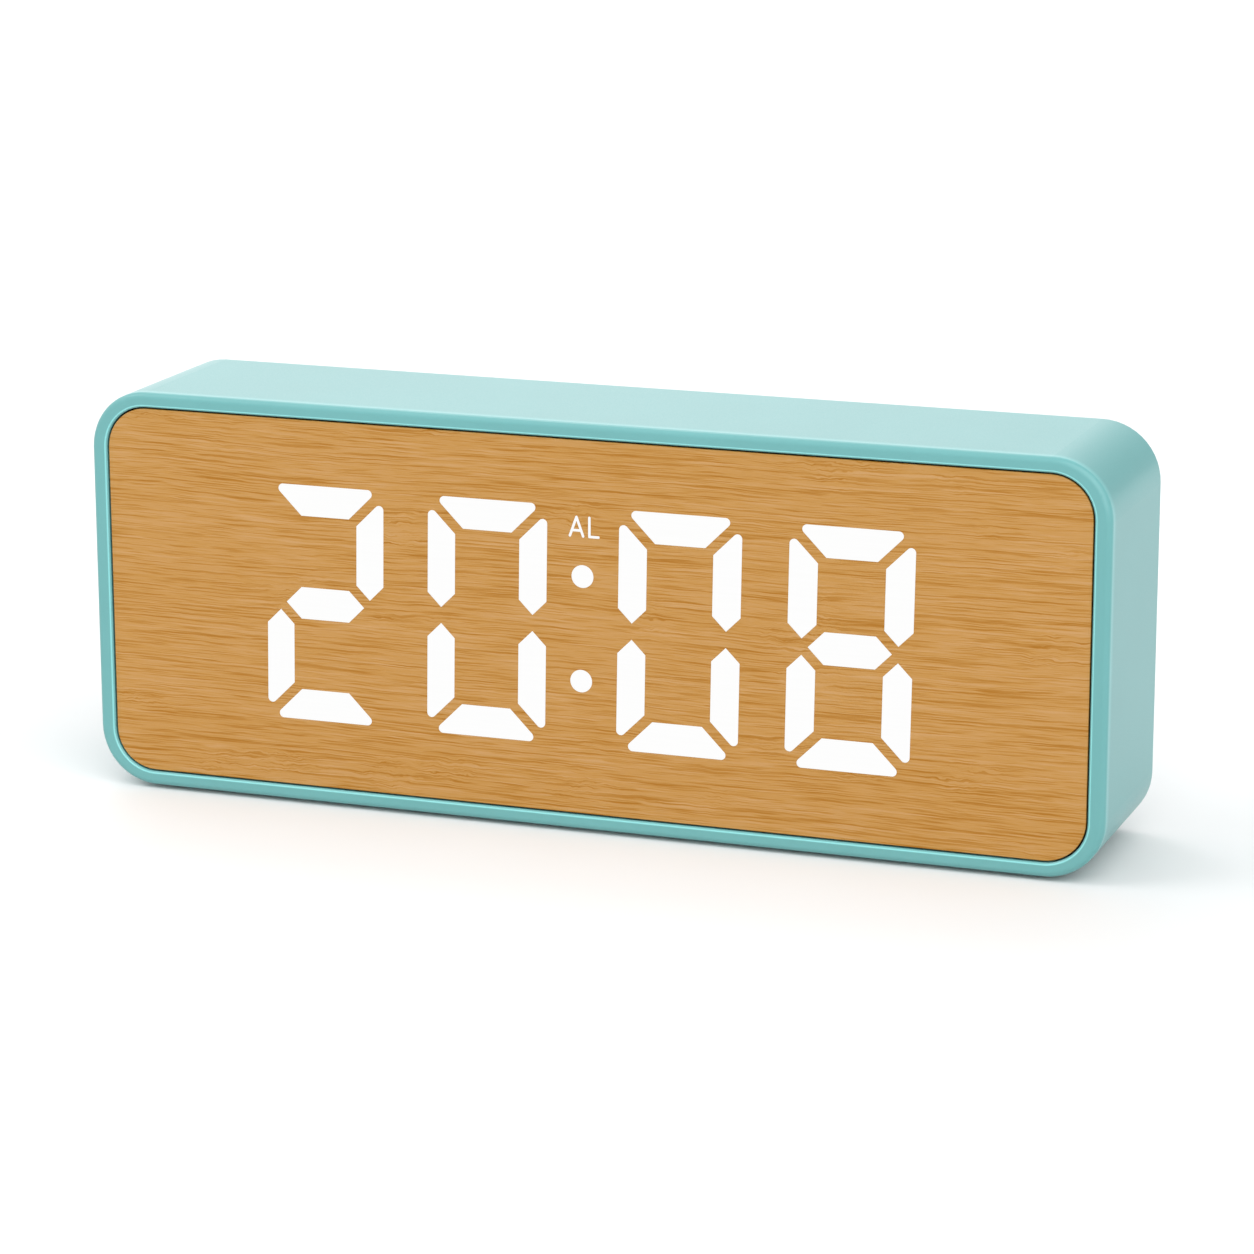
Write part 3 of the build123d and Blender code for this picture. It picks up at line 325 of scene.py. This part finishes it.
def circuit_board():
    """Green solder mask over copper tracks on a fine grid."""
    graph = Graph("solder_mask", Coat_Weight=0.3, Coat_Roughness=0.2)
    point = graph.point()
    split = graph.put("ShaderNodeSeparateXYZ", {0: point})
    bend = graph.math("SUBTRACT", graph.noise(point, (0.09, 0, 0.09), detail=0.0), 0.5)
    step = graph.math("ROUND", graph.math("MULTIPLY", bend, 16.0))
    run = graph.math("ADD", split.outputs["Z"], step)
    tracks = graph.math("ABSOLUTE", graph.math("SINE", graph.math("MULTIPLY", run, math.pi / 1.3)))
    copper = graph.spread(tracks, 0.86, 0.93)
    graph.link(graph.mix(copper, (0.012, 0.11, 0.045), (0.035, 0.2, 0.075)), "Base Color")
    graph.shader.inputs["Roughness"].default_value = 0.35
    graph.bump(copper, 0.035)
    return graph.material


def frosted(name, colour, alpha):
    """A translucent sheet with a fine matt tooth."""
    graph = Graph(name, Alpha=alpha, Transmission_Weight=0.2)
    tooth = graph.noise(graph.point(), (8.0, 8.0, 8.0), detail=2.0)
    graph.link(graph.mix(tooth, tuple(c * 0.95 for c in colour), colour), "Base Color")
    graph.link(graph.spread(tooth, 0.3, 0.7, 0.3, 0.5), "Roughness")
    graph.bump(tooth, 0.004)
    return graph.material


MATERIALS = {
    # the case's colour carries painted highlight lines along its rim
    "case_plastic": moulded("mint_case", MINT, painted_highlight=rim_painted_highlight),
    "key_plastic": moulded("mint_key", MINT_DEEP, rough=0.36, grain=0.006),
    "wood_veneer": oak(),
    # a smoked lens, as LED clocks have; its dark edge also paints shade into the narrow gap round the panel
    "smoked_acrylic": frosted("smoked_acrylic", (0.02, 0.02, 0.02), 0.85),
    "black_tape": moulded("black_tape", (0.015, 0.015, 0.015), rough=0.7),
    "frosted_film": frosted("frosted_film", (0.85, 0.85, 0.84), 0.8),
    "white_plastic": moulded("white_plastic", (0.78, 0.78, 0.76), rough=0.35),
    "circuit_board": circuit_board(),
    "led_package": moulded("led_package", (0.8, 0.72, 0.3), rough=0.3),
    "lit_white": glow(),
    "black_plastic": moulded("black_plastic", (0.018, 0.018, 0.02), rough=0.45),
    "steel": metal("zinc_steel", (0.62, 0.62, 0.6), 0.28),
    "nickel": metal("nickel_plate", (0.66, 0.63, 0.56), 0.2),
    "brass": metal("brass_sheet", (0.78, 0.56, 0.24), 0.25),
    "cell_wrap": moulded("cell_wrap", (0.03, 0.035, 0.04), rough=0.25, grain=0.002),
    "red_wire": moulded("red_wire", (0.55, 0.02, 0.015), rough=0.4),
    "black_wire": moulded("black_wire", (0.02, 0.02, 0.02), rough=0.4),
    "ribbon": moulded("ribbon_cable", (0.42, 0.43, 0.45), rough=0.45),
    "foot_rubber": rubber(),
}


def dress_nodes():
    """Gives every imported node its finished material."""
    slots = {part["node"]: part["material_slot"] for part in frame["record"]["subparts"]}
    for node, piece in NODES.items():
        for holder in piece.material_slots:
            holder.material = MATERIALS[slots[node]]


# ---------------------------------------------------------------- outlines
def ring_points(radius, centre=(0, 0), steps=40):
    """Points round a circle, anticlockwise."""
    turns = [2 * math.pi * i / steps for i in range(steps)]
    return [(centre[0] + radius * math.cos(a), centre[1] + radius * math.sin(a)) for a in turns]


def stroke(points, width, steps=8):
    """The outline of a round-ended line through the points, anticlockwise."""
    outline = []
    forward = [Vector(p) for p in points]
    for path in (forward, forward[::-1]):
        for before, here, after in zip(path, path[1:], path[2:]):
            first, second = (here - before).normalized(), (after - here).normalized()
            middle = (first + second).normalized()
            outline.append(here + Vector((middle.y, -middle.x)) * width / 2 / middle.dot(first))
        way = (path[-1] - path[-2]).normalized()
        start = math.atan2(-way.x, way.y)
        for i in range(steps + 1):
            angle = start + math.pi * i / steps
            outline.append(path[-1] + Vector((math.cos(angle), math.sin(angle))) * width / 2)
    return [tuple(p) for p in outline]


def inset(points, distance):
    """An anticlockwise outline moved inwards."""
    moved = []
    for i, here in enumerate(points):
        here = Vector(here)
        first = (here - Vector(points[i - 1])).normalized()
        second = (Vector(points[(i + 1) % len(points)]) - here).normalized()
        middle = (first + second).normalized()
        moved.append(here + Vector((-middle.y, middle.x)) * distance / max(middle.dot(first), 0.3))
    return [tuple(p) for p in moved]


def bell(size):
    """A bell's dome and, below it, its clapper."""
    dome = [(0.85 * math.cos(a), 0.35 + 0.85 * math.sin(a)) for a in (math.pi * i / 16 for i in range(17))]
    outline = [(-1.02, -0.4), (-1.4, -0.85), (1.4, -0.85), (1.02, -0.4), *dome]
    scaled = [(size * u, size * v) for u, v in outline]
    return [(scaled, None), (ring_points(0.3 * size, (0, -1.3 * size)), None)]


# Marks in millimetres, as seen from behind: outlines, each with its hole or None
CLOCK_MARK = [
    (ring_points(1.75), ring_points(1.35)),
    (stroke([(0, 0.9), (0, 0), (0.62, -0.36)], 0.36), None),
]
UP_MARK = [(stroke([(-1.25, -0.6), (0, 0.65), (1.25, -0.6)], 0.5), None)]
DOWN_MARK = [(stroke([(-1.25, 0.6), (0, -0.65), (1.25, 0.6)], 0.5), None)]
RING_MARK = [(ring_points(0.95), ring_points(0.6))]
BAR_MARK = [(stroke([(0, -0.75), (0, 0.75)], 0.4), None)]
BOLT_MARK = [([(0.3, 1.35), (-0.85, -0.2), (-0.1, -0.2), (-0.3, -1.35), (0.85, 0.2), (0.1, 0.2)], None)]
ARROW_MARK = [([(-2.0, -1.1), (2.0, -1.1), (0, 1.3)], None)]


# ---------------------------------------------------------------- meshes
def raised(outlines, place, height, edge):
    """Closed low reliefs with chamfered rims; place(u, v, h) gives the point over (u, v) at height h."""
    points, faces = [], []

    def loop(outline, level):
        first = len(points)
        points.extend(place(u, v, level) for u, v in outline)
        return list(range(first, len(points)))

    def join(lower, upper):
        for i in range(len(lower)):
            j = (i + 1) % len(lower)
            faces.append((lower[i], lower[j], upper[j], upper[i]))

    for outer, hole in outlines:
        walls = []
        for outline, way in ((outer, 1), (hole, -1)):
            if outline:
                rim = inset(outline, way * edge)
                walls.append([loop(outline, -edge), loop(outline, height - edge), loop(rim, height)])
                join(walls[-1][0], walls[-1][1])
                join(walls[-1][1], walls[-1][2])
        if hole:
            join(walls[1][2], walls[0][2])
            join(walls[0][0], walls[1][0])
        else:
            faces.append(tuple(walls[0][2]))
            faces.append(tuple(reversed(walls[0][0])))
    return points, faces


def turned(profile, place, steps=64):
    """A closed body turned round an axis; the profile's points are (radius, distance along the axis)."""
    points, faces, rows = [], [], []
    for radius, along in profile:
        count = steps if radius else 1
        rows.append(range(len(points), len(points) + count))
        turns = [2 * math.pi * i / steps for i in range(count)]
        points.extend(place(radius * math.cos(a), radius * math.sin(a), along) for a in turns)
    pairs = list(zip(rows, rows[1:]))
    if profile[0][0]:
        pairs.append((rows[-1], rows[0]))
    for lower, upper in pairs:
        for i in range(steps):
            j = (i + 1) % steps
            loop = [(lower, i), (lower, j), (upper, j), (upper, i)]
            faces.append(tuple(dict.fromkeys(row[k % len(row)] for row, k in loop)))
    return points, faces


def piece(name, body, slot, shape, nodes=()):
    """A piece of the visual model, made of points in millimetres and faces, that moves with a body."""
    points, faces = shape
    mesh = bpy.data.meshes.new(name)
    mesh.from_pydata([Vector(p) * MM for p in points], [], faces)
    shell = bmesh.new()
    shell.from_mesh(mesh)
    bmesh.ops.recalc_face_normals(shell, faces=shell.faces)
    shell.to_mesh(mesh)
    shell.free()
    mesh.shade_smooth()
    mesh.set_sharp_from_angle(angle=SHARP_ANGLE)
    mesh.materials.append(MATERIALS[slot])
    made = bpy.data.objects.new(name, mesh)
    bpy.context.scene.collection.objects.link(made)
    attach(made, body)
    if nodes:
        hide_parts(*nodes)


def corners(node):
    """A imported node's lowest and highest corner, in millimetres."""
    low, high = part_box(node)
    return Vector(low) / MM, Vector(high) / MM


def mark(name, body, slot, outlines, x, z, face):
    """A raised mark on a face that looks back."""
    shape = raised(outlines, lambda u, v, h: (x - u, face + h, z + v), MARK_HEIGHT, MARK_EDGE)
    piece(name, body, slot, shape)


def marks():
    """The marks on the keys, beside the slider, over the socket and on the battery door."""
    key_marks = {"set": CLOCK_MARK, "up": UP_MARK, "down": DOWN_MARK, "alarm": bell(1.05)}
    for key, outlines in key_marks.items():
        low, high = corners(f"{key}_button")
        middle = (low + high) / 2
        mark(f"{key}_key_mark", f"{key}_key", "white_plastic", outlines, middle.x, middle.z, high.y)
    pocket = corners("rear_cover")[1].y - POCKET_DEPTH
    low, high = corners("alarm_slider")
    middle, row = (low + high) / 2, (low.z + high.z) / 2
    centre = middle.x + SLIDER_TRAVEL / 2
    mark("slider_off_mark", "clock", "white_plastic", RING_MARK, centre - SIGN_GAP, row, pocket)
    mark("slider_on_mark", "clock", "white_plastic", BAR_MARK, centre + SIGN_GAP, row, pocket)
    mark("slider_bell_mark", "clock", "white_plastic", bell(0.75), centre, row + SIGN_RISE, pocket)
    low, high = corners("usb_socket_shell")
    middle = (low + high) / 2
    mark("power_mark", "clock", "white_plastic", BOLT_MARK, middle.x, row + SIGN_RISE, pocket)
    low, high = corners("battery_door")
    middle, top = (low + high) / 2, high.z - ARROW_DROP
    door_face = corners("rear_cover")[1].y
    mark("door_arrow", "battery_door", "case_plastic", ARROW_MARK, middle.x, top, door_face)


def socket_contacts():
    """Twelve gilded strips on each side of the socket's tongue."""
    low, high = corners("usb_socket_tongue")
    middle = (low.x + high.x) / 2
    strip = stroke([(0, 0), (0, CONTACT_LENGTH)], CONTACT_WIDTH, steps=4)
    points, faces = [], []
    for face, way in ((high.z, 1), (low.z, -1)):
        for i in range(CONTACT_COUNT):
            x = middle + (i - (CONTACT_COUNT - 1) / 2) * CONTACT_PITCH
            y = high.y - CONTACT_LENGTH - CONTACT_WIDTH

            def place(u, v, h):
                return x + u, y + v, face + way * h

            strip_points, strip_faces = raised([(strip, None)], place, CONTACT_HEIGHT, CONTACT_EDGE)
            faces.extend(tuple(index + len(points) for index in one) for one in strip_faces)
            points.extend(strip_points)
    piece("socket_contacts", "clock", "brass", (points, faces))


def cells():
    """Each cell as a steel can in a shrunk sleeve, with plus and minus signs printed on it."""
    for name, side in (("upper", -1), ("middle", 1), ("lower", -1)):
        low, high = corners(f"aaa_cell_{name}")
        middle = (low + high) / 2
        start = low.x if side > 0 else high.x
        length, radius = high.x - low.x, (high.z - low.z) / 2
        can_end = length - NUB_LENGTH

        def place(across, up, along):
            return start + side * along, middle.y + across, middle.z + up

        can = [
            (0, 0), (3.3, 0), (3.5, 0.14), (4.5, 0.14), (4.9, 0.4),
            (4.9, can_end - 0.4), (4.6, can_end - 0.15), (2.7, can_end - 0.15), (2.45, can_end - 0.3),
            (2.2, can_end - 0.15), (1.9, can_end + 0.05), (1.9, length - 0.3), (1.8, length - 0.08),
            (1.55, length), (0, length),
        ]
        sleeve = [
            (4.35, 0.14), (4.42, 0.03), (4.85, 0.0), (radius - 0.14, 0.1), (radius, 0.38),
            (radius, can_end - 0.38), (radius - 0.14, can_end - 0.1), (4.85, can_end), (4.42, can_end - 0.03),
            (4.35, can_end - 0.14), (4.95, can_end - 0.5), (4.95, 0.5),
        ]
        piece(f"cell_can_{name}", "clock", "nickel", turned(can, place))
        piece(f"cell_sleeve_{name}", "clock", "cell_wrap", turned(sleeve, place), [f"aaa_cell_{name}"])
        inner, outer = radius - PRINT_ROOT, radius + PRINT_RISE
        ring = [(inner, RING_START), (outer, RING_START), (outer, RING_END), (inner, RING_END)]
        piece(f"cell_ring_{name}", "clock", "white_plastic", turned(ring, place))
        piece(f"cell_signs_{name}", "clock", "white_plastic", printed(SIGN_BARS, radius, place))


def printed(bars, radius, place, steps=5):
    """Thin bars that follow a turned body's back; each is (start, end) along it and (low, high) round it."""
    points, faces = [], []
    for start, end, low, high in bars:
        first = len(points)
        for i in range(steps + 1):
            angle = (low + (high - low) * i / steps) / radius
            inner, outer = radius - PRINT_ROOT, radius + PRINT_RISE
            for along, reach in ((start, inner), (end, inner), (end, outer), (start, outer)):
                points.append(place(reach * math.cos(angle), reach * math.sin(angle), along))
        for i in range(steps):
            here = first + 4 * i
            for j in range(4):
                k = (j + 1) % 4
                faces.append((here + j, here + k, here + 4 + k, here + 4 + j))
        last = first + 4 * steps
        faces.append((first, first + 1, first + 2, first + 3))
        faces.append((last, last + 1, last + 2, last + 3))
    return points, faces


def feet():
    """The rubber feet, each with a shallow dish and a raised rim."""
    for end in ("front", "rear"):
        for side in ("left", "right"):
            node = f"foot_{end}_{side}"
            low, high = corners(node)
            middle, radius, top = (low + high) / 2, (high.x - low.x) / 2, high.z - low.z
            profile = [
                (0, 0.1), (2.2, 0.14), (2.5, 0.12), (2.75, 0), (3.55, 0), (3.85, 0.09), (radius, 0.34),
                (radius, top), (0, top),
            ]

            def place(across, up, along):
                return middle.x + across, middle.y + up, low.z + along

            piece(f"{node}_pad", "clock", "foot_rubber", turned(profile, place), [node])


# ---------------------------------------------------------------- stage
def camera():
    """The camera: a long lens, a little above the clock and to its right."""
    case_low, case_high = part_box("case_shell")
    middle = Vector(((case_low.x + case_high.x) / 2, case_low.y, (case_low.z + case_high.z) / 2))
    flat = math.cos(VIEW_ELEVATION)
    back = Vector((
        math.sin(VIEW_AZIMUTH) * flat,
        -math.cos(VIEW_AZIMUTH) * flat,
        math.sin(VIEW_ELEVATION),
    ))
    right = Vector((math.cos(VIEW_AZIMUTH), math.sin(VIEW_AZIMUTH), 0))
    up = back.cross(right)
    place = middle + back * VIEW_DISTANCE + right * VIEW_RIGHT + up * VIEW_UP
    across = right * math.cos(VIEW_ROLL) + up * math.sin(VIEW_ROLL)
    along = up * math.cos(VIEW_ROLL) - right * math.sin(VIEW_ROLL)
    lens = bpy.data.cameras.new("camera")
    lens.lens = FOCAL_LENGTH
    lens.sensor_width = SENSOR
    lens.clip_start = 0.01
    lens.clip_end = 50
    eye = bpy.data.objects.new("camera", lens)
    turn = Matrix((across, along, back)).transposed().to_4x4()
    eye.matrix_world = Matrix.Translation(place) @ turn
    bpy.context.scene.collection.objects.link(eye)
    bpy.context.scene.camera = eye


def softbox(name, place, target, size, power):
    """A square area light aimed at a point."""
    light = bpy.data.lights.new(name, "AREA")
    light.shape = "SQUARE"
    light.size = size
    light.energy = power
    lamp = bpy.data.objects.new(name, light)
    aim = (Vector(target) - Vector(place)).to_track_quat("-Z", "Y")
    lamp.matrix_world = Matrix.Translation(place) @ aim.to_matrix().to_4x4()
    bpy.context.scene.collection.objects.link(lamp)


def floor():
    """A wide pale floor under the clock."""
    mesh = bpy.data.meshes.new("floor")
    ways = ((-1, -1), (1, -1), (1, 1), (-1, 1))
    mesh.from_pydata([(x * FLOOR_REACH, y * FLOOR_REACH, 0) for x, y in ways], [], [(0, 1, 2, 3)])
    ground = bpy.data.objects.new("floor", mesh)
    graph = Graph("floor_white", Roughness=0.7, Specular_IOR_Level=0.1)
    cloud = graph.noise(graph.point(), (0.01, 0.01, 0.01), detail=3.0)
    graph.link(graph.mix(cloud, FLOOR_DARK, FLOOR_LIGHT), "Base Color")
    mesh.materials.append(graph.material)
    bpy.context.scene.collection.objects.link(ground)


def distant(name, towards, width, strength):
    """A broad light so far away that it falls evenly on the whole floor."""
    lamp = bpy.data.lights.new(name, "SUN")
    lamp.energy = strength
    lamp.angle = width
    light = bpy.data.objects.new(name, lamp)
    light.rotation_euler = Vector(towards).to_track_quat("Z", "Y").to_euler()
    bpy.context.scene.collection.objects.link(light)


def room():
    """White walls all round, brighter behind on the left and darker behind on the right."""
    world = bpy.data.worlds.new("studio")
    world.use_nodes = True
    tree = world.node_tree
    background = tree.nodes["Background"]
    background.inputs["Color"].default_value = (1.0, 1.0, 1.0, 1)
    split = tree.nodes.new("ShaderNodeSeparateXYZ")
    tree.links.new(tree.nodes.new("ShaderNodeTexCoord").outputs["Generated"], split.inputs[0])

    def between(source, low, high, out_low, out_high):
        """The source remapped and held; the upper output may be another node's."""
        node = tree.nodes.new("ShaderNodeMapRange")
        tree.links.new(source, node.inputs["Value"])
        node.inputs["From Min"].default_value = low
        node.inputs["From Max"].default_value = high
        node.inputs["To Min"].default_value = out_low
        if isinstance(out_high, bpy.types.NodeSocket):
            tree.links.new(out_high, node.inputs["To Max"])
        else:
            node.inputs["To Max"].default_value = out_high
        return node.outputs["Result"]

    glow_left, gloom_right = WORLD_LIGHT * (1 + BACK_GLOW), WORLD_LIGHT * (1 - BACK_GLOOM)
    across = between(split.outputs["X"], -0.3, 0.25, glow_left, gloom_right)
    strength = between(split.outputs["Y"], 0.1, 0.7, WORLD_LIGHT, across)
    tree.links.new(strength, background.inputs["Strength"])
    bpy.context.scene.world = world


def studio():
    """The room and its lamps: a broad one on the right, a weak one on the left, a small one behind."""
    room()
    distant("key", KEY_TOWARDS, KEY_WIDTH, KEY_LIGHT)
    distant("fill", FILL_TOWARDS, FILL_WIDTH, FILL_LIGHT)
    softbox("crest", CREST_PLACE, CREST_TARGET, CREST_SIZE, CREST_LIGHT)
    bpy.context.scene.view_settings.view_transform = "Standard"


dress_nodes()
marks()
socket_contacts()
cells()
feet()
floor()
studio()
camera()
